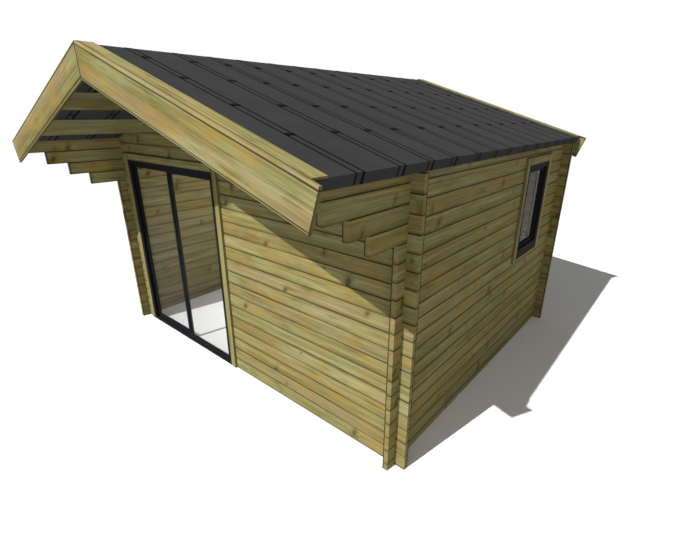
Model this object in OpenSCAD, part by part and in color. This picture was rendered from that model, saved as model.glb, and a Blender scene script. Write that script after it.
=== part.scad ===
// Garden log cabin with a deep front canopy and a sliding patio door.
// Millimetres. +Z is up, +X runs to the right along the front wall, +Y runs to the back.
// The origin is on the ground, under the middle of the roof.

/* [Logs] */
// Height that one log adds to a wall
log_h = 123; // [100:1:140]
// Thickness of a log, and so of a wall
log_t = 44; // [28:1:70]
// How far the log ends run on past each corner
log_end = 92; // [50:1:200]
// Depth of the small chamfer that makes the V joint between two logs
log_chamfer = 4; // [0:0.5:8]

/* [Cabin] */
// Width over the outer faces of the side walls
cabin_w = 3980; // [2600:10:6000]
// Depth over the outer faces of the front and back walls
cabin_d = 3340; // [2000:10:6000]
// Courses of logs that close the front wall over the doorway, up to the gable
head_courses = 2; // [1:1:4]
// How far the roof's underside clears the last of them at the side walls' outer faces
eave_rise = 37; // [20:1:60]

/* [Canopy] */
// How much further forward each corbelled log reaches than the one under it
corbel_step = 190; // [120:5:260]
// Thickness of the purlins
purlin_t = 44; // [44:1:90]
// Height of a purlin on its higher side
purlin_h = 138; // [100:1:200]
// Distance from the middle of the roof to the near face of the upper purlins
upper_purlin_x = 636; // [400:1:800]
// Distance from the middle of the roof to the near face of the lower purlins
lower_purlin_x = 1296; // [900:1:1600]

/* [Roof] */
// Slope of the roof in degrees
roof_pitch = 18; // [12:0.5:30]
// Thickness of the roof panels, square to the slope
roof_t = 61; // [30:1:100]
// How far the roof panels reach out past the side walls, along their top
eave_reach = 108; // [60:1:400]
// Width that one roofing sheet covers, with three low ribs
sheet_w = 948; // [700:1:1100]
// Distance from a sheet's first rib to its second
rib_second = 352; // [200:1:400]
// Distance from a sheet's first rib to its third
rib_third = 656; // [450:1:700]
// Width of the ribs
rib_w = 56; // [30:1:80]
// Height of the ribs
rib_h = 1.5; // [1:0.5:12]
// Distance from the front wall's outer face forward to the foremost rib
rib_front = 618; // [400:1:900]
// Depth of the barge boards, square to the slope, from the top of the cap boards down
barge_h = 224; // [120:1:260]
// Thickness of the barge boards
barge_t = 16; // [12:1:32]
// Height of the bead along the lower edge of the barge boards
bead_h = 13; // [8:1:25]
// Width and depth of the groove that sets the bead off
bead_groove = 3; // [2:0.5:5]
// How far the barge boards run on down the slope, past the roof panels
barge_reach = 74; // [0:1:120]
// Width of the flat cap boards on the roof's front and back edges
cap_w = 111; // [60:1:160]
// Thickness of the cap boards
cap_t = 11; // [8:1:24]
// How far the cap boards run on down the slope, past the roof panels
cap_reach = 5; // [0:1:60]

/* [Door] */
// Distance from the left wall's outer face to the door frame
door_inset = 216; // [180:1:500]
// Width over the door frame
door_w = 1692; // [1400:1:2000]
// Height over the door frame
door_h = 2033; // [1980:1:2040]
// Depth of the door frame
door_frame_d = 66; // [60:1:90]
// How far the door frame stands out of the wall's outer face
door_proud = 14; // [0:1:18]
// Thickness of the frame's bars behind the front lip
door_bar = 20; // [16:1:30]
// Width of the frame's front lip on the jambs and the head
door_lip = 34; // [26:1:50]
// Depth of that front lip, front to back
door_lip_d = 14; // [8:1:14]
// Height of the threshold
sill_h = 30; // [20:1:40]
// Height of the track that the sliding leaf runs on
track_h = 3; // [2:1:6]
// Width of the track
track_w = 4; // [3:1:8]
// Distance from the ends of the sliding leaf to its wheels
wheel_inset = 120; // [60:5:250]
// Width of the wheels
wheel_w = 8; // [6:1:12]
// Thickness of a door leaf
leaf_t = 20; // [16:1:24]
// Width of a leaf's outer stile
leaf_stile = 46; // [36:1:70]
// Width of a leaf's meeting stile
meeting_stile = 32; // [24:1:60]
// Height of a leaf's bottom rail, from the threshold up to the glass
bottom_rail = 42; // [30:1:120]
// Height of a leaf's top rail
top_rail = 58; // [40:1:120]
// Gap round the sliding leaf
leaf_gap = 6; // [5:0.5:8]
// Thickness of the glass
pane_t = 8; // [4:1:12]
// How far the glass runs into its sash
pane_rebate = 8; // [5:1:10]

/* [Window] */
// Distance from the front wall to the near edge of the window frame
window_near = 2128; // [600:1:2200]
// Width over the window frame
window_w = 621; // [400:1:900]
// Distance from the roof's underside over the side wall down to the window frame
window_drop = 191; // [120:1:500]
// Height over the window frame
window_h = 946; // [600:1:1000]
// Width of the window frame's bars
window_bar = 46; // [36:1:60]
// Height of the window frame's lowest bar
window_foot = 88; // [36:1:110]
// Depth of the window frame
window_frame_d = 66; // [50:1:80]
// How far the window frame stands out of the wall
window_proud = 14; // [0:1:18]
// Width of the sash bars that show inside the frame
window_sash_bar = 34; // [24:1:60]
// Thickness of the window sash
window_sash_t = 40; // [24:1:50]

/* [Casings] */
// Width of the boards round the door and the window
casing_w = 76; // [50:1:100]
// Height of the board under the window
casing_foot = 32; // [24:1:100]
// Thickness of those boards
casing_t = 20; // [14:1:25]
// Size of the small chamfer along the outer edges of trim boards
trim_ease = 3; // [1:0.5:5]
// Gap between two boards that meet end to side
butt_gap = 0.5; // [0.3:0.1:0.9]
// Gap between a frame and the logs round it
fit_gap = 4; // [2:1:8]

/* [Hidden] */
corbels = 4;
door_courses = floor((door_h + fit_gap) / log_h);
courses = door_courses + head_courses;
side_courses = courses + 1 - corbels;
canopy = corbel_step * (corbels + 1);
roof_y = canopy + cabin_d + log_end + barge_t * 2;
roof_front = -roof_y / 2;
roof_back = roof_y / 2;
wall_front = roof_front + barge_t + canopy;
wall_back = wall_front + cabin_d;
side_x = cabin_w / 2;
slope = tan(roof_pitch);
eave_h = courses * log_h + eave_rise;
ridge_under = eave_h + side_x * slope;
ridge_top = ridge_under + roof_t / cos(roof_pitch);
roof_len = (side_x + eave_reach) / cos(roof_pitch);
barge_len = roof_len + barge_reach;
cap_len = roof_len + cap_reach;
// Boards that lie on a sloping face are this far from it.
seat_gap = 0.2;
// How far a cutting body runs on past what it cuts.
over = 1;
door_left = -side_x + door_inset;
door_right = door_left + door_w;
door_y = wall_front - door_proud;
door_mid = (door_left + door_right) / 2;
fixed_y = door_y + door_lip_d;
sliding_y = fixed_y + leaf_t + leaf_gap;
fixed_right = door_right - door_bar;
fixed_left = door_mid - meeting_stile / 2;
sliding_left = door_left + door_bar + leaf_gap;
sliding_right = door_mid + meeting_stile / 2;
leaf_top = door_h - door_bar;
glass_bottom = sill_h + bottom_rail;
glass_top = leaf_top - top_rail;
window_y = wall_front + window_near;
window_x = side_x + window_proud;
window_sill_z = eave_h - window_drop - window_h;
wheel_r = 7;
wheel_facets = 32;
track_gap = 0.4;
timber = [0.66, 0.62, 0.42];
timber_lit = [0.7, 0.66, 0.4];
dark = [0.13, 0.13, 0.14];
roofing = [0.25, 0.25, 0.26];
pane = [0.75, 0.8, 0.8, 0.35];

// Outline of one log, seen from its end: flat faces with chamfered edges.
module log_outline(z0, z1) {
  c = log_chamfer;
  low = z0 > 0 ? c : 0;
  polygon([
    [low, z0], [log_t - low, z0], [log_t, z0 + low], [log_t, z1 - c],
    [log_t - c, z1], [c, z1], [0, z1 - c], [0, z0 + low]
  ]);
}

// A log along X, with its outer face at y0 for a front log.
module log_x(x0, x1, y0, z0, z1) {
  translate([x0, y0, 0])
    rotate([90, 0, 90])
      linear_extrude(height = x1 - x0)
        log_outline(z0, z1);
}

// A log along Y.
module log_y(y0, y1, x0, z0, z1) {
  translate([x0, y1, 0])
    rotate([90, 0, 0])
      linear_extrude(height = y1 - y0)
        log_outline(z0, z1);
}

// What the side walls take out of a wall along X where they cross it: a quarter of a log
// above and below each joint, so that half a log's height is left as the tongue.
module notches_x(y0, first, last) {
  for (side = [-1, 1])
    for (i = [first:last])
      translate([side * (side_x - log_t / 2), y0 + log_t / 2, i * log_h])
        cube([log_t, log_t + over * 2, log_h / 2], center = true);
}

// The same for a wall along Y, whose joints lie half a log higher.
module notches_y(x0, first, last) {
  for (y = [wall_front, wall_back - log_t])
    for (i = [first:last])
      translate([x0 + log_t / 2, y + log_t / 2, (i + 0.5) * log_h])
        cube([log_t + over * 2, log_t, log_h / 2], center = true);
}

// Everything from just under the roof panels upwards.
module above_roof() {
  far = side_x + log_end + over;
  under = ridge_under - seat_gap;
  top = ridge_top + log_h;
  translate([0, roof_back + over, 0])
    rotate([90, 0, 0])
      linear_extrude(height = roof_y + over * 2)
        polygon([
          [0, under], [far, under - far * slope], [far, top],
          [-far, top], [-far, under - far * slope]
        ]);
}

// A purlin with its near or left face at x0 and its top cut to the roof's slope.
module purlin(x0) {
  high = ridge_under - min(abs(x0), abs(x0 + purlin_t)) * slope;
  difference() {
    translate([x0, roof_front + barge_t, high - purlin_h])
      cube([purlin_t, roof_y - barge_t * 2, purlin_h + purlin_t]);
    above_roof();
  }
}

module purlins() {
  ridge_purlin();
  left_upper_purlin();
  left_lower_purlin();
  right_upper_purlin();
  right_lower_purlin();
}

// Courses first to last of a wall along X, from x0 to x1.
module courses_x(x0, x1, y0, first, last) {
  difference() {
    union()
      for (i = [first:1:last])
        log_x(x0, x1, y0, i * log_h, (i + 1) * log_h);
    notches_x(y0, first, last + 1);
  }
}

module front_wall_left() {
  color(timber)
    courses_x(-side_x - log_end, door_left - fit_gap, wall_front, 0, door_courses - 1);
}

module front_wall_right() {
  color(timber)
    courses_x(door_right + fit_gap, side_x + log_end, wall_front, 0, door_courses - 1);
}

// The triangle of logs between the side walls, from z0 up to the roof.
module gable_logs(y0, first) {
  inside = side_x - log_t;
  for (i = [first:1:floor(ridge_under / log_h)])
    log_x(-inside, inside, y0, i * log_h, (i + 1) * log_h);
}

module front_gable() {
  color(timber)
    difference() {
      union() {
        gable_logs(wall_front, courses);
        courses_x(-side_x - log_end, side_x + log_end, wall_front, door_courses, courses - 1);
      }
      translate([door_left - fit_gap, wall_front - over, 0])
        cube([door_w + fit_gap * 2, log_t + over * 2, door_h + fit_gap]);
      above_roof();
      purlins();
    }
}

module back_wall() {
  color(timber)
    courses_x(-side_x - log_end, side_x + log_end, wall_back - log_t, 0, courses - 1);
}

module back_gable() {
  color(timber)
    difference() {
      gable_logs(wall_back - log_t, courses);
      above_roof();
      purlins();
    }
}

// The lower side wall: half a log on the ground, then whole logs.
module side_logs(x0) {
  difference() {
    union()
      for (i = [0:side_courses - 1])
        log_y(wall_front - log_end, wall_back + log_end, x0, max(0, (i - 0.5) * log_h), (i + 0.5) * log_h);
    notches_y(x0, 0, side_courses - 1);
  }
}

// One of the top logs of a side wall, which run further out under the canopy one by one.
module corbel_log(x0, n) {
  i = side_courses + n - 1;
  difference() {
    log_y(
      wall_front - corbel_step * (n + 1), wall_back + log_end,
      x0, (i - 0.5) * log_h, (i + 0.5) * log_h
    );
    notches_y(x0, i - 1, min(i, courses - 1));
    above_roof();
  }
}

module window_hole() {
  translate([side_x - log_t - over, window_y - fit_gap, window_sill_z - fit_gap])
    cube([log_t + over * 2, window_w + fit_gap * 2, window_h + fit_gap * 2]);
}

module left_wall() {
  color(timber)
    side_logs(-side_x);
}

module left_corbel_1() {
  color(timber)
    corbel_log(-side_x, 1);
}

module left_corbel_2() {
  color(timber)
    corbel_log(-side_x, 2);
}

module left_corbel_3() {
  color(timber)
    corbel_log(-side_x, 3);
}

module left_eave_log() {
  color(timber)
    corbel_log(-side_x, corbels);
}

module right_wall() {
  color(timber)
    difference() {
      side_logs(side_x - log_t);
      window_hole();
    }
}

module right_corbel(n) {
  color(timber)
    difference() {
      corbel_log(side_x - log_t, n);
      window_hole();
    }
}

module right_corbel_1() {
  right_corbel(1);
}

module right_corbel_2() {
  right_corbel(2);
}

module right_corbel_3() {
  right_corbel(3);
}

module right_eave_log() {
  right_corbel(corbels);
}

module ridge_purlin() {
  color(timber)
    purlin(-purlin_t / 2);
}

module left_upper_purlin() {
  color(timber)
    purlin(-upper_purlin_x - purlin_t);
}

module left_lower_purlin() {
  color(timber)
    purlin(-lower_purlin_x - purlin_t);
}

module right_upper_purlin() {
  color(timber)
    purlin(upper_purlin_x);
}

module right_lower_purlin() {
  color(timber)
    purlin(lower_purlin_x);
}

// Sweeps an outline down the right slope from the middle line. The outline is drawn with Y
// along the roof and with its height measured square to the slope, from the roof's top.
module down_slope(len) {
  beyond = roof_t + barge_h;
  difference() {
    translate([0, 0, ridge_top])
      rotate([0, roof_pitch, 0])
        translate([-roof_t, 0, 0])
          rotate([90, 0, 90])
            linear_extrude(height = len + roof_t)
              children();
    translate([-beyond, roof_front - over, 0])
      cube([beyond, roof_y + over * 2, ridge_top + beyond]);
  }
}

// Outline of the ribbed roof sheets on their panel. The ribs have sloping sides.
module roof_outline() {
  front = roof_front + barge_t;
  back = roof_back - barge_t;
  first = wall_front - rib_front;
  last = back - cap_w - rib_w / 2;
  sheets = floor((last - first) / sheet_w);
  ribs = [
    for (s = [0:sheets], rib = [0, rib_second, rib_third])
      if (s * sheet_w + rib < last - first)
        for (p = [[-1, 0], [-1, 1], [1, 1], [1, 0]])
          [first + s * sheet_w + rib + p[0] * (rib_w / 2 - p[1] * rib_h), p[1] * rib_h]
  ];
  polygon(concat(
    [[back, 0], [back, -roof_t], [front, -roof_t], [front, 0]],
    ribs
  ));
}

// Outline of a barge board with its outer face at y0. Its thickness runs the way that way
// says, 1 for towards the back. Its top is flush with the cap boards. A groove sets off the
// bead along its lower edge.
module barge_outline(y0, way) {
  e = trim_ease;
  g = bead_groove;
  top = seat_gap + cap_t;
  foot = top - barge_h;
  bead = foot + bead_h;
  outer = [
    [e, foot], [0, foot + e], [0, bead], [g, bead + g / 2], [0, bead + g], [0, top - e], [e, top]
  ];
  polygon(concat(
    [for (p = outer) [y0 + p[0] * way, p[1]]],
    [[y0 + barge_t * way, top], [y0 + barge_t * way, foot]]
  ));
}

// Outline of a cap board that starts at y0.
module cap_outline(y0) {
  e = trim_ease;
  top = seat_gap + cap_t;
  translate([y0, 0])
    polygon([[0, seat_gap], [cap_w, seat_gap], [cap_w, top - e], [cap_w - e, top], [0, top]]);
}

module roof_right() {
  color(roofing)
    down_slope(roof_len)
      roof_outline();
}

module roof_left() {
  color(roofing)
    mirror([1, 0, 0])
      down_slope(roof_len)
        roof_outline();
}

module front_barge_right() {
  color(timber_lit)
    down_slope(barge_len)
      barge_outline(roof_front, 1);
}

module front_barge_left() {
  color(timber_lit)
    mirror([1, 0, 0])
      down_slope(barge_len)
        barge_outline(roof_front, 1);
}

module back_barge_right() {
  color(timber_lit)
    down_slope(barge_len)
      barge_outline(roof_back, -1);
}

module back_barge_left() {
  color(timber_lit)
    mirror([1, 0, 0])
      down_slope(barge_len)
        barge_outline(roof_back, -1);
}

module front_cap_right() {
  color(timber_lit)
    down_slope(cap_len)
      cap_outline(roof_front + barge_t);
}

module front_cap_left() {
  color(timber_lit)
    mirror([1, 0, 0])
      down_slope(cap_len)
        cap_outline(roof_front + barge_t);
}

module back_cap_right() {
  color(timber_lit)
    down_slope(cap_len)
      cap_outline(roof_back - barge_t - cap_w);
}

module back_cap_left() {
  color(timber_lit)
    mirror([1, 0, 0])
      down_slope(cap_len)
        cap_outline(roof_back - barge_t - cap_w);
}

// Two jambs and a head: bars of the full depth with a wider lip along the front.
module door_frame() {
  color(dark)
    difference() {
      translate([door_left, door_y, 0])
        cube([door_w, door_frame_d, door_h]);
      translate([door_left + door_bar, fixed_y, -over])
        cube([door_w - door_bar * 2, door_frame_d, door_h - door_bar + over]);
      translate([door_left + door_lip, door_y - over, -over])
        cube([door_w - door_lip * 2, door_frame_d, door_h - door_lip + over]);
      translate([door_left, door_y, 0])
        sill_block();
    }
}

module sill_block() {
  translate([door_bar, 0, 0])
    cube([door_w - door_bar * 2, door_frame_d, sill_h]);
}

module door_sill() {
  color(dark) {
    translate([door_left, door_y, 0])
      sill_block();
    translate([door_left + door_bar, sliding_y + (leaf_t - track_w) / 2, sill_h - over])
      cube([door_w - door_bar * 2, track_w, track_h + over]);
  }
}

// One glazed leaf: a ring of four bars with a groove for the glass.
module leaf(x0, x1, y0, z0, z1, left_bar, right_bar) {
  difference() {
    translate([x0, y0, z0])
      cube([x1 - x0, leaf_t, z1 - z0]);
    translate([x0 + left_bar, y0 - over, glass_bottom])
      cube([x1 - x0 - left_bar - right_bar, leaf_t + over * 2, glass_top - glass_bottom]);
    leaf_pane(x0, x1, y0, left_bar, right_bar);
  }
}

module leaf_pane(x0, x1, y0, left_bar, right_bar) {
  r = pane_rebate;
  translate([x0 + left_bar - r, y0 + (leaf_t - pane_t) / 2, glass_bottom - r])
    cube([x1 - x0 - left_bar - right_bar + r * 2, pane_t, glass_top - glass_bottom + r * 2]);
}

module fixed_sash() {
  color(dark)
    leaf(fixed_left, fixed_right, fixed_y, sill_h, leaf_top, meeting_stile, leaf_stile);
}

module fixed_glass() {
  color(pane)
    leaf_pane(fixed_left, fixed_right, fixed_y, meeting_stile, leaf_stile);
}

// The sliding leaf hangs a gap clear of the frame and stands on two wheels over the track.
module sliding_sash() {
  z0 = sill_h + track_h + leaf_gap;
  color(dark) {
    leaf(sliding_left, sliding_right, sliding_y, z0, leaf_top - leaf_gap, leaf_stile - leaf_gap, meeting_stile);
    for (x = [sliding_left + wheel_inset, sliding_right - wheel_inset])
      translate([x, sliding_y + leaf_t / 2, sill_h + track_h + track_gap + wheel_r])
        rotate([90, 0, 0])
          cylinder(r = wheel_r, h = wheel_w, center = true, $fn = wheel_facets);
  }
}

module sliding_glass() {
  color(pane)
    leaf_pane(sliding_left, sliding_right, sliding_y, leaf_stile - leaf_gap, meeting_stile);
}

// A trim board that stands against a wall, w wide and h high, with its outer face towards
// -Y and all four edges of that face eased.
module trim_board(w, h) {
  t = casing_t;
  e = trim_ease;
  intersection() {
    linear_extrude(height = h)
      polygon([[0, 0], [0, e - t], [e, -t], [w - e, -t], [w, e - t], [w, 0]]);
    rotate([90, 0, 90])
      linear_extrude(height = w)
        polygon([[0, 0], [e - t, 0], [-t, e], [-t, h - e], [e - t, h], [0, h]]);
  }
}

module door_casing_left() {
  color(timber)
    translate([door_left - casing_w, wall_front, 0])
      trim_board(casing_w, door_h + casing_w);
}

module door_casing_right() {
  color(timber)
    translate([door_right, wall_front, 0])
      trim_board(casing_w, door_h + casing_w);
}

module door_casing_top() {
  color(timber)
    translate([door_left, wall_front, door_h])
      trim_board(door_w, casing_w);
}

// A ring in the right wall: outer size w by h with its near lower corner at y, z. Its
// lowest bar is foot high.
module wall_ring(x0, d, y, z, w, h, bar, foot) {
  difference() {
    translate([x0, y, z])
      cube([d, w, h]);
    translate([x0 - over, y + bar, z + foot])
      cube([d + over * 2, w - bar * 2, h - bar - foot]);
  }
}

module window_frame() {
  color(dark)
    wall_ring(
      window_x - window_frame_d, window_frame_d, window_y, window_sill_z,
      window_w, window_h, window_bar, window_foot
    );
}

module window_sash() {
  b = window_bar;
  color(dark)
    difference() {
      wall_ring(
        window_x - window_frame_d, window_sash_t, window_y + b, window_sill_z + window_foot,
        window_w - b * 2, window_h - b - window_foot, window_sash_bar, window_sash_bar
      );
      window_pane();
    }
}

module window_pane() {
  bar = window_sash_bar - pane_rebate;
  b = window_bar + bar;
  foot = window_foot + bar;
  translate([
    window_x - window_frame_d + (window_sash_t - pane_t) / 2, window_y + b, window_sill_z + foot
  ])
    cube([pane_t, window_w - b * 2, window_h - b - foot]);
}

module window_glass() {
  color(pane)
    window_pane();
}

// Four boards: two as high as the whole casing and two between them.
module window_casing() {
  c = casing_w;
  foot = casing_foot;
  color(timber)
    translate([side_x, window_y, window_sill_z])
      rotate([0, 0, 90]) {
        for (x = [-c, window_w])
          translate([x, 0, -foot])
            trim_board(c, window_h + c + foot);
        for (board = [[-foot, foot], [window_h, c]])
          translate([butt_gap, 0, board[0]])
            trim_board(window_w - butt_gap * 2, board[1]);
      }
}

front_wall_left();
front_wall_right();
front_gable();
back_wall();
back_gable();
left_wall();
left_corbel_1();
left_corbel_2();
left_corbel_3();
left_eave_log();
right_wall();
right_corbel_1();
right_corbel_2();
right_corbel_3();
right_eave_log();
ridge_purlin();
left_upper_purlin();
left_lower_purlin();
right_upper_purlin();
right_lower_purlin();
roof_left();
roof_right();
front_barge_left();
front_barge_right();
back_barge_left();
back_barge_right();
front_cap_left();
front_cap_right();
back_cap_left();
back_cap_right();
door_frame();
door_sill();
fixed_sash();
fixed_glass();
sliding_sash();
sliding_glass();
door_casing_left();
door_casing_right();
door_casing_top();
window_frame();
window_sash();
window_glass();
window_casing();
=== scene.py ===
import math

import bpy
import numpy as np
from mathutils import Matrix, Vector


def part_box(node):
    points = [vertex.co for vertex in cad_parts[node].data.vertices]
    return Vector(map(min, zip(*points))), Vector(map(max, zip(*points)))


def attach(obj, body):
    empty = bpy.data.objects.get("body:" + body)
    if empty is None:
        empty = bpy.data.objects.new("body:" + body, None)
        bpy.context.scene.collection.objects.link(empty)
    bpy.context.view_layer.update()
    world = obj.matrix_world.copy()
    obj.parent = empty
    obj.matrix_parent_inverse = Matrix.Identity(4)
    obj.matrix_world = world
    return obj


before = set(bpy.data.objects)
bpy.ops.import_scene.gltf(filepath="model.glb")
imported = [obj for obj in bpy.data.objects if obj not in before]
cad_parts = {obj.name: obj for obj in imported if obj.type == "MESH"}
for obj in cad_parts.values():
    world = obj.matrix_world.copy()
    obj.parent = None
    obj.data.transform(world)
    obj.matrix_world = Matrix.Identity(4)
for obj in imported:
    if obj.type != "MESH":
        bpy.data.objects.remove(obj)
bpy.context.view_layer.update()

# %% [markdown]
# # A garden log cabin with a deep canopy
#
# The cabin is a stack of planed logs that lock into each other at the corners. Four logs on
# each side run further and further out and carry a canopy over a sliding glass door. The
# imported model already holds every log, board and bar at its true size, so this lesson keeps
# those pieces and gives them their finishes. It then adds the small things that a joiner
# fits last: clips on the roof ribs, glazing beads, seals and screws.
#
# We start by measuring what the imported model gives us. Everything later takes its place
# from these numbers, so nothing has to be fitted by eye.

AXES = {"X": 0, "Y": 1, "Z": 2}

# The walls are 16 logs high beside the door.
LOGS_UP = 16
LOG_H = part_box("front_wall_right")[1].z / LOGS_UP
PITCH = math.radians(18)
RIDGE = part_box("roof_right")[1].z
ROOF_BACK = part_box("roof_right")[1].y

# A roof sheet's width, the places of its ribs and the width of a rib. The first rib of all
# lies 0.618 in front of the wall.
SHEET_W, RIB_PLACES, RIB_W = 0.948, (0.0, 0.352, 0.656), 0.056
FIRST_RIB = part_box("front_wall_right")[0].y - 0.618
# How far down the slope from the ridge each row of clips lies.
CLIPS_DOWN = (0.260, 0.734, 1.256, 1.722)
print("log height:", round(LOG_H, 4), "first rib at y:", round(FIRST_RIB, 3))

# %% [markdown]
# ## Wiring shaders with few words
#
# A Blender material is a tree of nodes. Placing each node with several lines hides the idea
# behind it, so we make a small class first. Each call puts one node into the tree and
# returns its output, which the next call takes as an input. A number goes into a socket as
# its value and an output is linked.

# %% A helper for node trees
class Wires:
    """Adds shader nodes to one tree. Each call returns the output socket of its new node."""

    def __init__(self, tree):
        self.tree = tree

    def node(self, kind, values=None, out=0, **settings):
        """One node of this kind, with the given settings and input values or links."""
        made = self.tree.nodes.new(kind)
        for name, value in settings.items():
            setattr(made, name, value)
        for key, value in (values or {}).items():
            if isinstance(value, bpy.types.NodeSocket):
                self.tree.links.new(value, made.inputs[key])
            else:
                made.inputs[key].default_value = value
        return made if out is None else made.outputs[out]

    def math(self, operation, *terms):
        """One calculation on up to three numbers or outputs."""
        return self.node("ShaderNodeMath", dict(enumerate(terms)), operation=operation)

    def chain(self, operation, first, *others):
        """The same calculation over all the terms, such as their sum or the greatest."""
        for other in others:
            first = self.math(operation, first, other)
        return first

    def off(self, value, spot):
        """How far a value is from one spot, on either side."""
        return self.math("ABSOLUTE", self.math("SUBTRACT", value, spot))

    def nearest(self, value, spots):
        """How far a value is from the nearest of some fixed spots."""
        return self.chain("MINIMUM", *[self.off(value, spot) for spot in spots])

    def vector(self, x, y, z):
        """A vector from three numbers or outputs."""
        return self.node("ShaderNodeCombineXYZ", {0: x, 1: y, 2: z})

    def parts(self, vector):
        """The three parts of a vector or a colour."""
        return list(self.node("ShaderNodeSeparateXYZ", {0: vector}, None).outputs)

    def length(self, vector):
        """How long a vector is."""
        return self.node("ShaderNodeVectorMath", {0: vector}, 1, operation="LENGTH")

    def noise(self, place, scale=1.0, detail=2.0, roughness=0.5, out=0):
        """Soft noise at a place. Output 0 is a number from 0 to 1 and output 1 a colour."""
        values = {"Vector": place, "Scale": scale, "Detail": detail, "Roughness": roughness}
        return self.node("ShaderNodeTexNoise", values, out)

    def random(self, x, y, out=0):
        """A random number (output 0) or colour (output 1) for each pair of whole numbers."""
        place = self.vector(x, y, 0.0)
        return self.node("ShaderNodeTexWhiteNoise", {"Vector": place}, out)

    def ease(self, value, low, high, start=0.0, end=1.0):
        """Goes smoothly from start to end while value goes from low to high."""
        values = {0: value, 1: low, 2: high, 3: start, 4: end}
        return self.node("ShaderNodeMapRange", values, interpolation_type="SMOOTHSTEP")

    def blend(self, share, first, second, how="MIX"):
        """Two colours mixed: share 0 gives the first, share 1 the second."""
        values = {0: share, 6: first, 7: second}
        return self.node("ShaderNodeMix", values, 2, data_type="RGBA", blend_type=how)

    def ramp(self, value, stops, way="LINEAR"):
        """A colour ramp with (position, colour) stops."""
        made = self.node("ShaderNodeValToRGB", {0: value}, None)
        scale = made.color_ramp
        scale.interpolation = way
        for place, shade in stops[1:-1]:
            scale.elements.new(place)
        for element, (place, shade) in zip(scale.elements, stops):
            element.position, element.color = place, shade
        return made.outputs[0]


def colour(red, green, blue):
    """A colour given as 0 to 255, turned into the linear numbers that shaders work with."""
    shades = np.array([red, green, blue]) / 255
    linear = np.where(shades <= 0.04045, shades / 12.92, ((shades + 0.055) / 1.055) ** 2.4)
    return (*[float(part) for part in linear], 1.0)


def new_material(name):
    """An empty material: its wires, its shader node and the place on the piece."""
    made = bpy.data.materials.new(name)
    made.use_nodes = True
    wires = Wires(made.node_tree)
    shader = made.node_tree.nodes["Principled BSDF"]
    place = wires.node("ShaderNodeTexCoord", out=None)
    return made, wires, shader, place


print("wood colour from sRGB 157 145 93:", [round(c, 3) for c in colour(157, 145, 93)])

# %% [markdown]
# ## The timber
#
# Pressure-treated softwood is yellow-green with tan and ochre bands. Its pattern comes from
# growth rings that a saw has cut through, so a picture stretched over the board would show
# the wrong thing on the ends. We build a solid pattern instead: rings round a pith that runs
# along the log, bent a little by noise. A face then shows long arches, and an end shows
# parts of circles, both from the same sum.
#
# Knots are branches, so they go through the wood from face to face. Each stretch of log
# holds at most one knot, at a random place, and the rings swell round it.
#
# All of this goes into one node group. Each material feeds it with where it is along the
# log, across its face and into its depth, and with a number that picks another log.

# %% One node group for sawn timber
RING_W = 0.0062
# Logs are numbered below this and boards from it on.
FIRST_BOARD = 300.0
# For large and small knots: the stretch of log that holds one at most, the least radius, how
# much larger they get, and the share of the stretches that holds none.
KNOTS = ((0.94, 0.012, 0.015, 0.5), (0.61, 0.004, 0.006, 0.84))


def find_knot(w, along, across, log, stretch, least, more, rare):
    """How far a point is from the knot in its stretch of log, and the knot's radius, which is
    0 where there is none. The number of the stretch is the place along the log over the
    stretch's length, rounded down. Three random parts of that number set the knot's place
    along and across the log, its lean and its radius. Boards have no knots."""
    turn = w.math("DIVIDE", along, stretch)
    dice = w.random(w.math("FLOOR", turn), w.math("MULTIPLY_ADD", log, 7.0, stretch), 1)
    dice_x, dice_y, dice_z = w.parts(dice)
    spot = w.math("MULTIPLY_ADD", dice_x, 0.4, 0.3)
    off_u = w.math("MULTIPLY", w.math("SUBTRACT", w.math("FRACT", turn), spot), stretch)
    off_v = w.math("SUBTRACT", across, w.math("MULTIPLY_ADD", dice_y, 0.084, -0.042))
    lean = w.math("MULTIPLY_ADD", w.math("SUBTRACT", dice_x, 0.5), 1.2, 0.5)
    leant_u = w.math("MULTIPLY_ADD", off_v, w.math("MULTIPLY", lean, -1.0), off_u)
    leant_v = w.math("MULTIPLY", w.math("MULTIPLY_ADD", off_u, lean, off_v), 0.56)
    wobble = w.noise(w.vector(along, across, dice_z), 26.0, 1.0)
    far = w.length(w.vector(leant_u, leant_v, 0.0))
    far = w.math("MULTIPLY_ADD", w.math("SUBTRACT", wobble, 0.5), 0.008, far)
    size = w.math("MULTIPLY_ADD", w.ease(dice_z, rare, 1.0), more, least)
    size = w.math("MULTIPLY", size, w.math("GREATER_THAN", dice_z, rare))
    return far, w.math("MULTIPLY", size, w.math("LESS_THAN", log, FIRST_BOARD))


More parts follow.
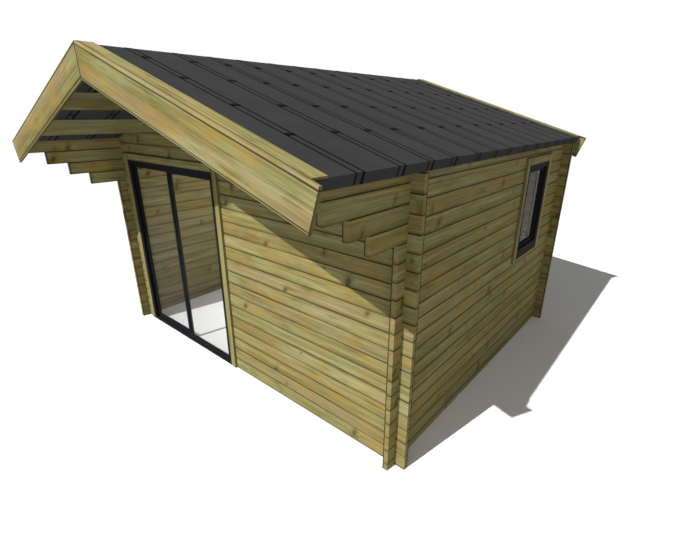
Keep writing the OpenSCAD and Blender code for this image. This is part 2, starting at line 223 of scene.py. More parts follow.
def find_pith(w, along, across, depth, log, own, knots):
    """A point's place from the pith, across and into the log, and its distance. The pith's
    place is the log's own, bent by noise. Near a knot a bump is added to the distance: the
    radius times e to the power of minus half the square of how many radii away it is."""
    bend_x, bend_y, _ = w.parts(w.noise(w.vector(
        w.math("MULTIPLY", along, 0.8), w.math("MULTIPLY", across, 4.0),
        w.math("MULTIPLY_ADD", depth, 4.0, log)), 1.0, 2.0, 0.5, 1))
    pith_v = w.chain(
        "ADD", across, w.math("MULTIPLY_ADD", own[1], -0.09, 0.045),
        w.math("MULTIPLY_ADD", bend_x, 0.05, -0.025))
    pith_w = w.chain(
        "ADD", depth, w.math("MULTIPLY_ADD", own[2], -0.07, 0.012),
        w.math("MULTIPLY_ADD", bend_y, 0.05, -0.025))
    radius = w.length(w.vector(pith_v, pith_w, 0.0))
    for far, size in knots:
        near = w.math("DIVIDE", far, w.math("MULTIPLY_ADD", size, 2.2, 0.0001))
        bump = w.math("EXPONENT", w.math("MULTIPLY", w.math("MULTIPLY", near, near), -0.5))
        radius = w.math("MULTIPLY_ADD", w.math("MULTIPLY", bump, size), 1.1, radius)
    return pith_v, pith_w, radius


def add_knot(w, shade, height, far, size):
    """A knot in the colour and in the height: a brown core with rings of its own inside its
    radius, and a faint halo to 2.4 radii."""
    there = w.math("GREATER_THAN", size, 0.001)
    halo = w.ease(w.math("DIVIDE", far, w.math("ADD", size, 0.004)), 2.4, 0.9, 0.0, 0.45)
    inside = w.math("MULTIPLY", w.ease(w.math("SUBTRACT", far, size), 0.006, -0.009), there)
    rings = w.math("FRACT", w.math("DIVIDE", far, 0.0035))
    core = w.blend(rings, colour(108, 90, 48), colour(90, 72, 38))
    shade = w.blend(w.math("MULTIPLY", halo, there), shade, colour(124, 110, 58))
    shade = w.blend(w.math("MULTIPLY", inside, 0.75), shade, core)
    return shade, w.math("MULTIPLY_ADD", inside, 0.5, height)


def sawn_end(w, pith_v, pith_w, radius, ring, log):
    """The colour of a sawn end: the rings as circles, and dark cracks that run out from the
    pith, since their noise depends on the angle round it."""
    sawn = w.ramp(ring, [
        (0.0, colour(176, 158, 106)), (0.6, colour(160, 140, 88)), (1.0, colour(116, 96, 54))])
    cracks = w.noise(w.vector(
        w.math("MULTIPLY", w.math("ARCTAN2", pith_v, pith_w), 9.0),
        w.math("MULTIPLY", radius, 6.0), log), 1.0, 1.0)
    return w.blend(w.ease(cracks, 0.6, 0.66, 0.0, 0.35), sawn, colour(84, 64, 38))


def make_timber_group():
    """The wood's colour, roughness and height. A ring is the distance from the pith over the
    ring width, of which only the part after the point counts. Broad bands, fine streaks and
    clouds of moss, ochre and pale wood lie over the stock's own colour."""
    group = bpy.data.node_groups.new("sawn_timber", "ShaderNodeTree")
    face = group.interface
    for name in ("Along", "Across", "Depth", "Log", "End"):
        face.new_socket(name, in_out="INPUT", socket_type="NodeSocketFloat")
    face.new_socket("Stock", in_out="INPUT", socket_type="NodeSocketColor")
    face.new_socket("Colour", in_out="OUTPUT", socket_type="NodeSocketColor")
    face.new_socket("Roughness", in_out="OUTPUT", socket_type="NodeSocketFloat")
    face.new_socket("Height", in_out="OUTPUT", socket_type="NodeSocketFloat")
    w = Wires(group)
    along, across, depth, log, end, stock = w.node("NodeGroupInput", out=None).outputs[:6]
    seed = w.math("MULTIPLY", log, 3.7)
    own = w.parts(w.random(log, 3.0, 1))
    along = w.math("MULTIPLY_ADD", own[0], 37.0, along)

    def figure(x, y, z, roughness=0.6, out=0):
        """Noise that changes x, y and z times in a metre along, across and into the log."""
        return w.noise(w.vector(
            w.math("MULTIPLY", along, x), w.math("MULTIPLY", across, y),
            w.math("MULTIPLY_ADD", depth, z, seed)), 1.0, 3.0, roughness, out)

    knots = [find_knot(w, along, across, log, *kind) for kind in KNOTS]
    pith_v, pith_w, radius = find_pith(w, along, across, depth, log, own, knots)
    ring = w.math("FRACT", w.math("DIVIDE", radius, RING_W))
    late = w.math("MULTIPLY", w.math("POWER", ring, 3.0), w.ease(ring, 1.0, 0.9))
    band = w.noise(w.vector(
        w.math("MULTIPLY", along, 0.5),
        w.math("MULTIPLY_ADD", radius, 26.0, w.math("MULTIPLY", across, 26.0)), seed), 1.0, 3.0, 0.6)
    streak = figure(2.4, 110.0, 120.0)
    moss, ochre, pale = w.parts(figure(2.8, 10.0, 9.0, 0.55, 1))
    smudge = figure(4.0, 40.0, 20.0, 0.65)
    fibre = w.noise(w.vector(
        w.math("MULTIPLY", along, 9.0), w.math("MULTIPLY", across, 430.0),
        w.math("MULTIPLY", depth, 430.0)), 1.0, 2.0, 0.6)

    mossy = w.math("MULTIPLY", w.ease(moss, 0.5, 0.66), w.ease(smudge, 0.42, 0.66, 0.0, 0.65))
    ringed = w.math("MULTIPLY", late, w.ease(moss, 0.2, 0.8, 0.05, 0.22))
    shade = stock
    for share, tone in (
            (w.ease(band, 0.34, 0.5, 0.75, 0.0), (140, 126, 68)),
            (w.ease(band, 0.5, 0.66, 0.0, 0.72), (190, 180, 128)),
            (w.ease(ochre, 0.47, 0.7, 0.0, 0.75), (180, 151, 80)),
            (w.ease(pale, 0.49, 0.7, 0.0, 0.6), (166, 168, 116)),
            (mossy, (116, 116, 56)),
            (ringed, (116, 96, 52))):
        shade = w.blend(share, shade, colour(*tone))
    level = w.math("MULTIPLY_ADD", own[1], 0.06, w.ease(streak, 0.3, 0.7, 0.77, 1.125))
    # The level rises across the face, so each log is a little darker at its foot and lighter at its
    # top: painted shading.
    level = w.math("MULTIPLY_ADD", across, 0.5, level)
    level = w.math("MULTIPLY", level, w.ease(fibre, 0.25, 0.75, 0.9, 1.06))
    shade = w.blend(1.0, shade, w.vector(level, level, level), "MULTIPLY")
    height = w.math("MULTIPLY_ADD", late, 0.5, w.math("MULTIPLY", fibre, 0.6))
    for far, size in knots:
        shade, height = add_knot(w, shade, height, far, size)
    sawn = sawn_end(w, pith_v, pith_w, radius, ring, log)
    shade = w.blend(w.math("MULTIPLY", end, 0.35), shade, sawn)
    rough = w.math("MULTIPLY_ADD", fibre, 0.18, 0.6)
    w.node("NodeGroupOutput", {0: shade, 1: rough, 2: height}, None)
    return group


timber_group = make_timber_group()
print("timber group:", len(timber_group.nodes), "nodes")

# %% [markdown]
# ## Finishes for logs and for boards
#
# A wall is one node with all its logs, so the material has to find out which log a point
# belongs to. Logs along X start on whole log heights and logs along Y start half a log
# lower, which is how the corners lock. Dividing the height by the log height gives the
# number of the log, and what is left over gives the place across its face.
#
# The V joint between two logs is painted nearly black inside, and the foot of each log a
# little darker: both are painted shade. Boards get the same timber with painted shade along
# their edges and no knots. A barge board has bands of green and tan wood from its lower edge
# to its upper one, with dark lines of painted shade near its lower edge and under the cap.

# %% Materials for logs and boards
# The dark colour that painted shade mixes into the timber.
SHADE_PAINT = colour(62, 50, 26)
STOCK = [colour(*shade) for shade in (
    (166, 157, 104), (170, 151, 103), (163, 149, 89), (171, 158, 101),
    (156, 138, 83), (162, 155, 99), (164, 155, 101), (164, 147, 96))]
GREEN, TAN, BROWN, PALE, DARK = (colour(*shade) for shade in (
    (156, 151, 98), (166, 143, 97), (122, 108, 62), (186, 178, 127), (66, 54, 28)))
# Bands are pairs of a share of the board's width, from its lower edge, and a colour. The
# DARK bands are painted shade: lines near the lower edge and under the cap.
BARGE_BANDS = (
    (0.0, DARK), (0.016, DARK), (0.024, PALE), (0.036, PALE), (0.044, DARK), (0.058, DARK),
    (0.075, GREEN), (0.14, TAN), (0.46, TAN), (0.53, GREEN), (0.555, BROWN), (0.575, GREEN),
    (0.87, GREEN), (0.893, DARK), (0.922, DARK), (0.935, TAN), (1.0, TAN))
TURNED_BANDS = (
    (0.0, TAN), (0.07, TAN), (0.08, DARK), (0.115, DARK), (0.135, GREEN), (0.42, GREEN),
    (0.445, BROWN), (0.47, GREEN), (0.54, TAN), (0.9, TAN), (0.93, GREEN), (0.944, DARK),
    (1.0, DARK))


def plain(*shade):
    """The bands of a board of one colour."""
    return (0.0, colour(*shade)), (1.0, colour(*shade))


def timber_shader(wires, shader, wood, painted_shade):
    """Feeds the timber group and connects it. Wood is what the group takes, in its order, and
    painted_shade is how much painted shade darkens the point, from 0 to 1."""
    made = wires.node("ShaderNodeGroup", dict(enumerate(wood)), None, node_tree=timber_group)
    shade = wires.blend(painted_shade, made.outputs[0], SHADE_PAINT)
    bump = wires.node(
        "ShaderNodeBump", {"Strength": 0.35, "Distance": 0.0012, "Height": made.outputs[2]})
    wires.tree.links.new(shade, shader.inputs["Base Color"])
    wires.tree.links.new(made.outputs[1], shader.inputs["Roughness"])
    wires.tree.links.new(bump, shader.inputs["Normal"])
    shader.inputs["Specular IOR Level"].default_value = 0.06


def from_ends(w, value, low, high):
    """How far a value between low and high is from the nearer of the two."""
    return w.math("SUBTRACT", (high - low) / 2, w.off(value, (low + high) / 2))


def edge_shade(w, spots, low, high, rim):
    """Painted shade along the edges of a board: 1 where the second smallest of the distances to
    its faces is small, since a point on an edge is close to two faces."""
    a, b, c = (from_ends(w, spots[i], low[i], high[i]) for i in range(3))
    second = w.math(
        "MAXIMUM", w.math("MINIMUM", a, b), w.math("MINIMUM", w.math("MAXIMUM", a, b), c))
    return w.math("MULTIPLY", w.ease(second, rim, rim * 0.45), 0.75)


def log_finish(node, run, half, seed, room):
    """Logs of a wall that run along X or Y. The log's number is the height over the log
    height, rounded down, and half is -0.5 where the first log is only half a log high. The
    number and seed pick the grain. Room is the side, -1 or 1, on which the room lies: there
    the joints of a wall are paler and the corners of the log ends are dark. The dark joints,
    those corners and patches over the foot of each log are painted shade."""
    made, w, shader, place = new_material("logs_" + node)
    low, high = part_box(node)
    long, thin = AXES[run], 1 - AXES[run]
    spots, faces = w.parts(place.outputs["Object"]), w.parts(place.outputs["Normal"])
    turn = w.math("ADD", w.math("DIVIDE", spots[2], LOG_H), half)
    course = w.math("FLOOR", turn)
    across = w.math("MULTIPLY", w.math("SUBTRACT", w.math("FRACT", turn), 0.5), LOG_H)
    depth = w.math("SUBTRACT", spots[thin], (low[thin] + high[thin]) / 2)
    end = w.ease(w.math("ABSOLUTE", faces[long]), 0.85, 0.95)

    patch = w.noise(w.vector(
        w.math("MULTIPLY", spots[long], 0.9), 0.0, w.math("MULTIPLY", spots[2], 9.0)), 1.0, 2.0)
    # Painted shade in patches over the foot of each log.
    from_foot = w.math("ADD", across, LOG_H / 2)
    soft = w.math("MULTIPLY", w.ease(from_foot, 0.026, 0.004, 0.0, 0.8), patch)
    # Painted shade in the V joint, stronger in some patches than in others.
    from_joint = w.math("SUBTRACT", LOG_H / 2, w.math("ABSOLUTE", across))
    joint = w.math(
        "MULTIPLY", w.ease(from_joint, 0.007, 0.003), w.ease(patch, 0.35, 0.62, 0.66, 0.95))
    from_room = w.off(spots[thin], (low, high)[room > 0][thin])
    if "wall" in node:
        joint = w.math("MULTIPLY", joint, w.ease(from_room, 0.004, 0.010, 0.6, 1.0))
    # Painted shade on the corners of the log ends on the room side.
    tip = from_ends(w, spots[long], low[long], high[long])
    corner = w.ease(w.math("MAXIMUM", tip, from_room), 0.012, 0.006, 0.0, 0.9)

    steps = [(i / 8 - 0.01 * (i > 0), shade) for i, shade in enumerate(STOCK)]
    stock = w.ramp(w.math("FRACT", w.math("DIVIDE", course, 8.0)), steps, "CONSTANT")
    timber_shader(w, shader, (spots[long], across, depth, w.math("ADD", course, seed), end, stock),
                  w.chain("MAXIMUM", joint, soft, corner))
    return made


def board_place(w, place, node, slope):
    """Where a point lies on a board and how much it faces each axis, and the low and high
    corners of the board. For a board on the roof all of them are turned back by the slope,
    which leaves the board level: x times cosine plus z times sine, and z times cosine minus
    x times sine."""
    spot, face = place.outputs["Object"], place.outputs["Normal"]
    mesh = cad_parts[node].data
    corners = np.empty(len(mesh.vertices) * 3)
    mesh.vertices.foreach_get("co", corners)
    corners = corners.reshape(-1, 3)
    if slope:
        spot, face = (
            w.node("ShaderNodeVectorRotate", {"Vector": v, "Angle": slope}, rotation_type="Y_AXIS")
            for v in (spot, face))
        c, s = math.cos(slope), math.sin(slope)
        corners = corners @ np.array([[c, 0, -s], [0, 1, 0], [s, 0, c]])
    faces = [w.math("ABSOLUTE", part) for part in w.parts(face)]
    return w.parts(spot), faces, corners.min(0).tolist(), corners.max(0).tolist()


def tip_shade(w, spots, low, high, left):
    """Painted shade on the lower end of a barge board and on its face just before it, paler past
    the front 7 mm of its thickness."""
    reach = 0.011 if left else 0.006
    tip = w.math("SUBTRACT", spots[0], low[0]) if left else w.math("SUBTRACT", high[0], spots[0])
    front = w.ease(spots[1], low[1] + 0.004, low[1] + 0.007, 1.0, 0.4)
    return w.math("MULTIPLY", w.ease(tip, reach, reach * 0.5, 0.0, 0.85), front)


def board_finish(node, run, seed, slope=0.0, bands=((0.0, STOCK[0]), (1.0, STOCK[0])),
                 rim=0.006, hole=None, seam=None):
    """A board. Run is the axis of its grain, seed picks the grain, and slope is the pitch of
    the roof where it lies on it, which also puts painted shade on the joint at the ridge. Bands
    are its colours, bent by noise. Rim is the width of the painted shade along the edges; with
    0 only the lower end, the underside and the dark bands get painted shade. A hole is the
    opening that four boards go round: the grain of those over and under it is level, and
    painted shade darkens the joints between them and the edges at the opening. A seam is the
    place along Y where the next board starts, and painted shade lines it."""
    made, w, shader, place = new_material("board_" + node)
    spots, faces, low, high = board_place(w, place, node, slope)
    long = AXES[run]
    wide = max((i for i in range(3) if i != long), key=lambda i: high[i] - low[i])
    thin = 3 - long - wide
    width = high[wide] - low[wide]
    share = w.math("DIVIDE", w.math("SUBTRACT", spots[wide], low[wide]), width)
    along, log, end = spots[long], float(seed), w.ease(faces[long], 0.85, 0.95)
    across = w.math("MULTIPLY", w.math("SUBTRACT", share, 0.5), width)
    depth = w.math("SUBTRACT", spots[thin], (low[thin] + high[thin]) / 2)
    drift = w.noise(w.vector(w.math("MULTIPLY", spots[long], 2.2), share, float(seed)), 1.0, 2.0)
    middle = w.math("MULTIPLY", share, w.math("SUBTRACT", 1.0, share))
    bent = w.math("MULTIPLY", w.math("SUBTRACT", drift, 0.5), middle)
    bent = w.math("MULTIPLY_ADD", bent, 0.3, share)

    # Painted shade along the edges, or, with no rim, on the lower end, on the dark bands and on the
    # underside.
    if rim:
        painted_shade = [edge_shade(w, spots, low, high, rim)]
    else:
        marks = [(at, (1, 1, 1, 1) if shade == DARK else (0, 0, 0, 1)) for at, shade in bands]
        under = w.math("LESS_THAN", share, 0.5)
        painted_shade = [
            tip_shade(w, spots, low, high, "left" in node),
            w.math("MULTIPLY", w.ramp(bent, marks), 0.8),
            w.math("MULTIPLY", w.ease(faces[wide], 0.85, 0.95, 0.0, 0.8), under)]
    # Painted shade on the joint at the ridge.
    if slope:
        from_ridge = w.math("ABSOLUTE", w.parts(place.outputs["Object"])[0])
        painted_shade.append(w.ease(from_ridge, 0.009, 0.004, 0.0, 0.95))
    # Painted shade along the seam where the next board starts.
    if seam is not None:
        painted_shade.append(w.ease(w.off(spots[1], seam), 0.010, 0.005, 0.0, 0.85))
    # Painted shade on the joints and edges round the opening.
    if hole:
        off = [w.math("SUBTRACT", w.off(spots[i], (hole[0][i] + hole[1][i]) / 2),
                      (hole[1][i] - hole[0][i]) / 2) for i in (wide, long)]
        level = w.math("LESS_THAN", off[0], 0.0)
        sides = [w.ease(w.math("ABSOLUTE", each), 0.010, 0.005, 0.0, 0.75) for each in off]
        painted_shade += [sides[0], w.math("MULTIPLY", sides[1], level)]
        along = w.math("MULTIPLY_ADD", level, w.math("SUBTRACT", spots[wide], along), along)
        across = w.math("MULTIPLY_ADD", level, w.math("SUBTRACT", off[1], across), across)
        log = w.math("MULTIPLY_ADD", level, 9.0, log)
        end = w.math("MULTIPLY", end, w.math("SUBTRACT", 1.0, level))
    wood = (along, across, depth, log, end, w.ramp(bent, bands))
    timber_shader(w, shader, wood, w.chain("MAXIMUM", *painted_shade))
    return made


def dress(node, material):
    """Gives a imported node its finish."""
    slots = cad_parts[node].data.materials
    slots.clear()
    slots.append(material)


def dress_boards(word, run, seed, step=1, **looks):
    """Finishes the boards with this word in their names. Each seed is a step on from the one
    before it. A look is one value for all, or a function of the node's name."""
    for number, node in enumerate(sorted(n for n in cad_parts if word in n)):
        own = {key: look(node) if callable(look) else look for key, look in looks.items()}
        dress(node, board_finish(node, run, seed + step * number, **own))


def slope_of(node):
    """The pitch of the roof's side that a node lies on."""
    return PITCH if "left" in node else -PITCH


for node in sorted(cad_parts):
    side = -1 if "left" in node else 1
    if node in ("front_wall_left", "front_wall_right", "front_gable"):
        dress(node, log_finish(node, "X", 0.0, 0.0, 1))
    elif node in ("back_wall", "back_gable"):
        dress(node, log_finish(node, "X", 0.0, 250.0, -1))
    elif "corbel" in node or "eave_log" in node or node in ("left_wall", "right_wall"):
        dress(node, log_finish(node, "Y", -0.5, 150.0 + 50.0 * side, -side))
# The purlins' stock is paler than the logs': painted light that lifts them in the shade under the
# canopy.
dress_boards("purlin", "Y", 300, bands=plain(198, 192, 138))
dress_boards(
    "barge", "X", 420, 3, slope=slope_of, rim=0.0,
    bands=lambda node: BARGE_BANDS if node == "front_barge_right" else TURNED_BANDS)
dress_boards(
    "_cap_", "X", 330, slope=slope_of, seam=lambda node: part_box(node)["back" in node].y,
    bands=lambda node: plain(198, 194, 138) if "back" in node else plain(204, 190, 124))
dress_boards("door_casing_left", "Z", 340, rim=0.009)
dress_boards("door_casing_right", "Z", 341, rim=0.009)
dress_boards("door_casing_top", "X", 350, rim=0.009)
dress_boards("window_casing", "Z", 351, rim=0.007, hole=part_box("window_frame"))
print("wood finishes:", len([m for m in bpy.data.materials if m.users]))

# %% [markdown]
# ## The roof sheet
#
# The roof is a dark coated sheet with low ribs that run from the ridge down to the eaves.
# The imported panel has the ribs. The finish adds fine dark seams along both flanks of each
# rib, which are painted shade, and a slightly uneven matt coat. The seams depend on the place
# along the ridge only, so they carry on over the eave's edge. On the underside they lie a
# little further forward, and the clips show there as dark marks.

# %% Material for the roof sheet
# How much further forward the marks lie on the underside.
UNDER_SHIFT = 0.065


def sheet_finish():
    """Each sheet has three ribs. The place along the ridge, less the first rib, is wrapped to
    one sheet, and a seam is where the distance to a rib's middle is half the rib's width. How
    far down the slope a point lies is its distance from the ridge's middle plane times the
    pitch's cosine plus its depth below the ridge times the sine."""
    made, w, shader, place = new_material("roof_sheet_coat")
    spots, faces = w.parts(place.outputs["Object"]), w.parts(place.outputs["Normal"])
    below = w.math("LESS_THAN", faces[2], -0.5)
    along = w.math("MULTIPLY_ADD", below, UNDER_SHIFT, spots[1])
    turn = w.math("DIVIDE", w.math("SUBTRACT", along, FIRST_RIB - RIB_W), SHEET_W)
    turn = w.math("MULTIPLY_ADD", w.math("FRACT", turn), SHEET_W, -RIB_W)
    middle, front, back = (
        w.nearest(turn, [rib + side * RIB_W / 2 for rib in RIB_PLACES]) for side in (0, -1, 1))
    # The seams are painted shade along both flanks of each rib.
    seam = w.math("MAXIMUM", w.ease(front, 0.010, 0.005, 0.0, 0.85), w.ease(back, 0.014, 0.007))
    seam = w.math("MULTIPLY", seam, w.math("GREATER_THAN", along, FIRST_RIB - RIB_W))
    down = w.math("MULTIPLY_ADD", w.math("ABSOLUTE", spots[0]), math.cos(PITCH), w.math(
        "MULTIPLY_ADD", spots[2], -math.sin(PITCH), RIDGE * math.sin(PITCH)))
    clip = w.ease(w.nearest(down, CLIPS_DOWN), 0.024, 0.012)
    clip = w.math("MULTIPLY", clip, w.math("MULTIPLY", below, w.ease(middle, 0.037, 0.033)))
    coat = w.noise(place.outputs["Object"], 3.0, 4.0, 0.6)
    grain = w.noise(place.outputs["Object"], 900.0, 2.0, 0.6)
    shade = w.blend(w.ease(coat, 0.3, 0.7), colour(68, 68, 68), colour(76, 76, 76))
    shade = w.blend(w.ease(grain, 0.35, 0.75, 0.0, 0.25), shade, colour(84, 84, 84))
    dark = w.math("MULTIPLY", w.math("MAXIMUM", seam, clip), 0.95)
    shade = w.blend(dark, shade, colour(12, 12, 12))
    w.tree.links.new(shade, shader.inputs["Base Color"])
    w.tree.links.new(w.ease(coat, 0.2, 0.8, 0.8, 0.92), shader.inputs["Roughness"])
    bump = w.node("ShaderNodeBump", {"Strength": 0.25, "Distance": 0.0006, "Height": grain})
    w.tree.links.new(bump, shader.inputs["Normal"])
    shader.inputs["Specular IOR Level"].default_value = 0.02
    return made


roof_coat = sheet_finish()
for node in ("roof_left", "roof_right"):
    dress(node, roof_coat)
print("roof finish ready")

# %% [markdown]
# ## Frames and glass
#
# The door and the window have slim dark grey frames with a fine powder coat. Its texture is
# too small to model, so noise drives a very small bump. The same finish in other greys makes
# the seals, the clips and a pale painted bead. The glass is clear. Real refraction would only
# make the picture noisy, because a flat pane hardly bends the view, so the pane mixes a
# slightly grey see-through shader with a mirror by the angle of view.

# %% Materials for frames, seals and glass
def coat_finish(name, dark, light, rough, scale=700.0):
    """A powder coat: fine noise mixes two near colours and makes the grain of the surface."""
    made, w, shader, place = new_material(name)
    grain = w.noise(place.outputs["Object"], scale, 2.0, 0.6)
    cloud = w.noise(place.outputs["Object"], 4.0, 2.0)
    mixed = w.math("MULTIPLY_ADD", cloud, 0.5, w.math("MULTIPLY", grain, 0.5))
    w.tree.links.new(w.blend(mixed, dark, light), shader.inputs["Base Color"])
    w.tree.links.new(w.ease(cloud, 0.2, 0.8, rough - 0.06, rough + 0.06), shader.inputs["Roughness"])
    bump = w.node("ShaderNodeBump", {"Strength": 0.3, "Distance": 0.0003, "Height": grain})
    w.tree.links.new(bump, shader.inputs["Normal"])
    shader.inputs["Specular IOR Level"].default_value = 0.01
    return made


def glass_finish():
    """A pane: its mirror's share is 0.02 plus half the fourth power of how edge-on it is, and
    the rest is seen through."""
    made, w, shader, place = new_material("clear_glass")
    film = w.noise(place.outputs["Object"], 2.0, 3.0)
    clear = w.node("ShaderNodeBsdfTransparent", {"Color": colour(243, 243, 243)})
    shader.inputs["Base Color"].default_value = colour(70, 76, 74)
    w.tree.links.new(w.ease(film, 0.3, 0.8, 0.02, 0.06), shader.inputs["Roughness"])
    facing = w.node("ShaderNodeLayerWeight", {"Blend": 0.5}, 1)
    mirror = w.math("MULTIPLY_ADD", w.math("POWER", facing, 4.0), 0.5, 0.02)
    mixed = w.node("ShaderNodeMixShader", {0: mirror, 1: clear, 2: shader.outputs[0]})
    ending = made.node_tree.nodes["Material Output"]
    w.tree.links.new(mixed, ending.inputs["Surface"])
    return made


frame_coat = coat_finish("dark_frame_coat", colour(33, 33, 36), colour(44, 44, 47), 0.55)
seal_rubber = coat_finish("seal_rubber", colour(14, 14, 14), colour(24, 24, 24), 0.7, 300.0)
clip_metal = coat_finish("clip_coat", colour(17, 17, 18), colour(27, 27, 28), 0.6)
bead_paint = coat_finish("bead_paint", colour(232, 232, 224), colour(246, 246, 240), 0.5, 260.0)
pane_glass = glass_finish()
for node in ("door_frame", "door_sill", "fixed_sash", "sliding_sash", "window_frame", "window_sash"):
    dress(node, frame_coat)
for node in ("fixed_glass", "sliding_glass", "window_glass"):
    dress(node, pane_glass)
print("frames and glass ready")

# %% [markdown]
# ## Small pieces from arrays
#
# Seals, beads and clips are simple shapes that repeat. Placing primitives by hand would mean
# a call for each, and every change would be made again for each one. We build them from
# arrays instead: one small pattern of corners is written once, and numpy adds it to every
# place in a single sum.
#
# Two patterns are enough. A mitred ring sweeps a profile round a rectangle, as a joiner cuts
# four lengths of bead at 45 degrees. A set of blocks puts the same tapered block at many
# places, each turned to lie on the surface that carries it.

# %% Rings and blocks
def new_piece(name, points, faces, material, body="cabin", ease=0.0):
    """A mesh piece with a small rounded edge, which rides on a body."""
    mesh = bpy.data.meshes.new(name)
    mesh.from_pydata(np.round(points, 6).tolist(), [], np.asarray(faces).tolist())
    mesh.validate()
    made = bpy.data.objects.new(name, mesh)
    bpy.context.scene.collection.objects.link(made)
    mesh.materials.append(material)
    if ease:
        edge = made.modifiers.new("eased_edges", "BEVEL")
        edge.width, edge.segments, edge.limit_method = ease, 2, "ANGLE"
        edge.harden_normals = True
        mesh.shade_smooth()
    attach(made, body)
    return made


def mitred_ring(low, high, normal, profile):
    """Points and faces of a profile swept round a rectangle. The rectangle spans low to high
    on the two axes other than normal. A profile point (u, d) lies u inside the rectangle's
    edge and at d on the normal axis, so a corner is middle + sign * (half - u)."""
    flat = [i for i in range(3) if i != AXES[normal]]
    middle = np.array([(low[i] + high[i]) / 2 for i in flat])
    half = np.array([(high[i] - low[i]) / 2 for i in flat])
    u, d = np.array(profile).T
    signs = np.array([[-1, -1], [1, -1], [1, 1], [-1, 1]])
    count = len(u)
    points = np.zeros((4, count, 3))
    points[:, :, flat] = middle + signs[:, None, :] * (half - u[:, None])
    points[:, :, AXES[normal]] = d
    corner, step = np.meshgrid(np.arange(4), np.arange(count), indexing="ij")
    after, ahead = (corner + 1) % 4, (step + 1) % count
    faces = np.stack([corner * count + step, after * count + step,
                      after * count + ahead, corner * count + ahead], -1).reshape(-1, 4)
    return points.reshape(-1, 3), faces[:, ::-1] if normal == "Y" else faces


def blocks(places, turns, size, top):
    """Points and faces of equal blocks. Each corner is place + sign * half size in the
    block's own axes, the three rows of its turn, and the upper corners are drawn in to top
    times their distance."""
    signs = np.array([[x, y, z] for z in (0, 1) for y in (-1, 1) for x in (-1, 1)], float)
    shape = signs * np.array(size) / [2, 2, 1]
    shape[4:, :2] *= top
    points = places[:, None, :] + np.einsum("ci,nij->ncj", shape, turns)
    quads = np.array([
        [0, 2, 3, 1], [4, 5, 7, 6], [0, 1, 5, 4], [2, 6, 7, 3], [0, 4, 6, 2], [1, 3, 7, 5]])
    faces = quads[None] + 8 * np.arange(len(places))[:, None, None]
    return points.reshape(-1, 3), faces.reshape(-1, 4)


print("ring and block patterns ready")

# %% [markdown]
# ## Seals, beads and roof clips
#
# Rubber holds each pane on both sides. Its lip slopes away from the glass so that rain runs
# off. The window also has a pale bead on the room side, which shows through the pane as a
# light line.
#
# Each roof rib is a fold where two sheets meet, held down by dark clips at four heights. A
# clip is made once in the rib's own axes: along the ridge, down the slope and off the sheet.

# %% Seals and beads
# How far a lip reaches over the glass.
LIP = 0.007
# How far a lip's back lies outside the pane's edge, inside the sash.
BITE = 0.0005


def seal_pane(pane, sash, normal, body):
    """A sloping rubber lip on both sides of a pane. Its foot covers 0.8 of a shallow rebate
    or half of a deep one, which keeps it inside the sash's faces."""
    axis = AXES[normal]
    (low, high), (near, far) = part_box(pane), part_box(sash)
    for word, glass, face in (("lower", low[axis], near[axis]), ("upper", high[axis], far[axis])):
        rise = (face - glass) * (0.8 if abs(face - glass) < 0.01 else 0.5)
        profile = [(-BITE, glass), (LIP, glass), (LIP - 0.002, glass + rise * 0.45),
                   (-BITE, glass + rise)]
        if word == "lower":
            profile.reverse()
        points, faces = mitred_ring(low, high, normal, profile)
        new_piece(f"{pane}_seal_{word}", points, faces, seal_rubber, body, 0.0006)


seal_pane("fixed_glass", "fixed_sash", "Y", "cabin")
seal_pane("sliding_glass", "sliding_sash", "Y", "sliding_leaf")
seal_pane("window_glass", "window_sash", "X", "cabin")
low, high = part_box("window_glass")
room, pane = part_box("window_sash")[0].x - 0.006, low.x - 0.0035
points, faces = mitred_ring(low, high, "X", [
    (BITE, room), (0.009, room), (0.0105, pane - 0.0025), (0.0075, pane), (BITE, pane)])
new_piece("window_room_bead", points, faces, bead_paint, "cabin", 0.001)

# %% Roof clips
# The length, width and height of a clip and of a screw's head, and how far a screw lies from
# the clip's middle.
CLIP = (0.062, 0.030, 0.0045)
SCREW = (0.009, 0.009, 0.0028)
SCREWS_OFF = 0.020
RIBS = FIRST_RIB + np.array([s * SHEET_W + r for s in range(6) for r in RIB_PLACES])
RIBS = RIBS[RIBS < ROOF_BACK - RIB_W]
y, down = (grid.reshape(-1, 1) for grid in np.meshgrid(RIBS, CLIPS_DOWN, indexing="ij"))
places, turns = [], []
for side in (-1, 1):
    slope = np.array([side * math.cos(PITCH), 0.0, -math.sin(PITCH)])
    lift = np.array([side * math.sin(PITCH), 0.0, math.cos(PITCH)])
    places.append(down * slope + y * [0.0, 1.0, 0.0] + [0.0, 0.0, RIDGE])
    turns.append(np.repeat(np.array([[0.0, side, 0.0], slope, lift])[None], len(y), 0))
places, turns = np.concatenate(places), np.concatenate(turns)
points, faces = blocks(places, turns, CLIP, 0.86)
new_piece("roof_clips", points, faces, clip_metal, "cabin", 0.001)
lifted = places + turns[:, 2] * (CLIP[2] - 0.0001)
heads = np.concatenate([lifted + turns[:, 0] * x for x in (-SCREWS_OFF, SCREWS_OFF)])
points, faces = blocks(heads, np.concatenate([turns, turns]), SCREW, 0.8)
new_piece("roof_clip_screws", points, faces, clip_metal, "cabin", 0.0007)
print("clips:", len(places), "on", len(RIBS), "ribs")

# %% [markdown]
# ## Stage, light and camera
#
# The cabin stands on a plain pale floor. One lamp stands for the sun, which shines over the
# viewer's left shoulder, and the world fills the shade. Three soft lamps, which show neither
# themselves nor a highlight, help under the canopy, in the room and at the side. The world and
# the floor look white to the camera, in reflections and through the panes, without adding that
# light to the cabin.

# %% Floor, light and camera
FLOOR_HALF = 60.0
# Where the sun's light goes while it falls one metre.
SUN_RAY = (0.19, 1.012, -1.0)
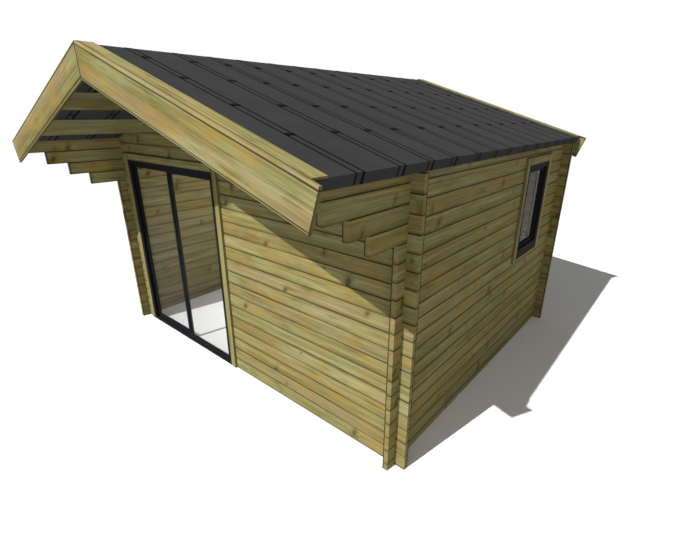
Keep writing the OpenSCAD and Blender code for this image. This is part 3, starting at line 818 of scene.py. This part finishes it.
# Name, kind, power, colour, place, the point it shines at and the lamp's size.
SOFT_LAMPS = (
    ("studio_canopy_fill", "AREA", 25.5, (0.83, 0.95, 1.25), (0.3, -3.5, 0.12),
     (0.0, -1.7, 2.2), (5.0, 1.5)),
    ("studio_room_fill", "POINT", 40.0, (1, 1, 1), (-0.6, -0.2, 1.4), None, 0.5),
    ("studio_side_fill", "AREA", 38.5, (1, 1, 1), (6.5, -4.5, 1.2), (2.0, 0.5, 1.2), (4.0, 2.0)))


def place_in_scene(name, data, place=(0, 0, 0), way=None):
    """An object at a place, turned so that it shines or looks along a way."""
    made = bpy.data.objects.new(name, data)
    made.location = place
    if way:
        made.rotation_euler = Vector(way).to_track_quat("-Z", "Y").to_euler()
    bpy.context.scene.collection.objects.link(made)
    return made


def seen_ray(w):
    """1 for a ray from the camera, a mirror or a pane, and 0 for light that only bounces."""
    path = w.node("ShaderNodeLightPath", out=None).outputs
    return w.chain("MAXIMUM", *[
        path[f"Is {kind} Ray"] for kind in ("Camera", "Glossy", "Transmission")])


def make_floor():
    """A square at ground level, white to the eye and plain grey to bounced light. Its shading
    leans 14 degrees toward the lamp, as the far end of a curved studio sweep does."""
    mesh = bpy.data.meshes.new("studio_floor")
    corners = np.array([[-1, -1, 0], [1, -1, 0], [1, 1, 0], [-1, 1, 0]]) * FLOOR_HALF
    mesh.from_pydata(corners.tolist(), [], [(0, 1, 2, 3)])
    made = place_in_scene("studio_floor", mesh)
    material, w, _, place = new_material("floor_paint")
    seen = seen_ray(w)
    near = w.node("ShaderNodeBsdfDiffuse", {
        "Color": w.blend(seen, colour(150, 150, 150), (1.25, 1.25, 1.25, 1)),
        "Normal": w.vector(-0.044, -0.238, 0.970)})
    glow = w.node("ShaderNodeEmission", {"Color": (1, 1, 1, 1), "Strength": 1.0})
    fade = w.ease(w.length(place.outputs["Object"]), 6.0, 14.0)
    mixed = w.node("ShaderNodeMixShader", {0: w.math("MULTIPLY", fade, seen), 1: near, 2: glow})
    w.tree.links.new(mixed, w.tree.nodes["Material Output"].inputs["Surface"])
    mesh.materials.append(material)


def make_sun():
    """A sun lamp, and a world that looks white but gives a sixth of that light."""
    lamp = bpy.data.lights.new("studio_key", "SUN")
    lamp.energy = 2.92
    lamp.angle = math.radians(0.5)
    place_in_scene("studio_key", lamp, way=SUN_RAY)
    world = bpy.data.worlds.new("studio")
    bpy.context.scene.world = world
    world.use_nodes = True
    w = Wires(world.node_tree)
    world.node_tree.nodes.clear()
    power = w.math("MULTIPLY_ADD", seen_ray(w), 0.832, 0.168)
    shine = w.node("ShaderNodeBackground", {"Color": (1, 1, 1, 1), "Strength": power})
    w.node("ShaderNodeOutputWorld", {"Surface": shine}, None)


def make_soft_lamps():
    """The soft lamps of the table: rectangles that shine one way and a ball in the room."""
    for name, kind, power, tint, place, target, size in SOFT_LAMPS:
        lamp = bpy.data.lights.new(name, kind)
        lamp.energy, lamp.color = power, tint
        if kind == "AREA":
            lamp.shape = "RECTANGLE"
            lamp.size, lamp.size_y = size
        else:
            lamp.shadow_soft_size = size
        way = Vector(target) - Vector(place) if target else None
        made = place_in_scene(name, lamp, place, way)
        made.visible_camera = made.visible_glossy = made.visible_transmission = False


def make_camera():
    """A camera that looks down at the front right corner. The way back from what it sees is
    turned from the front by one angle and lifted by the other."""
    lens = bpy.data.cameras.new("camera")
    lens.sensor_fit, lens.sensor_width = "HORIZONTAL", 36.0
    lens.lens = 21.907
    lens.clip_start, lens.clip_end = 0.05, 300.0
    turn, lift = math.radians(40.825), math.radians(20.995)
    ahead = (-math.sin(turn) * math.cos(lift), math.cos(turn) * math.cos(lift), -math.sin(lift))
    bpy.context.scene.camera = place_in_scene("camera", lens, (3.282, -3.373, 2.532), ahead)


make_floor()
make_sun()
make_soft_lamps()
make_camera()
bpy.context.scene.view_settings.view_transform = "Standard"
print("stage ready")
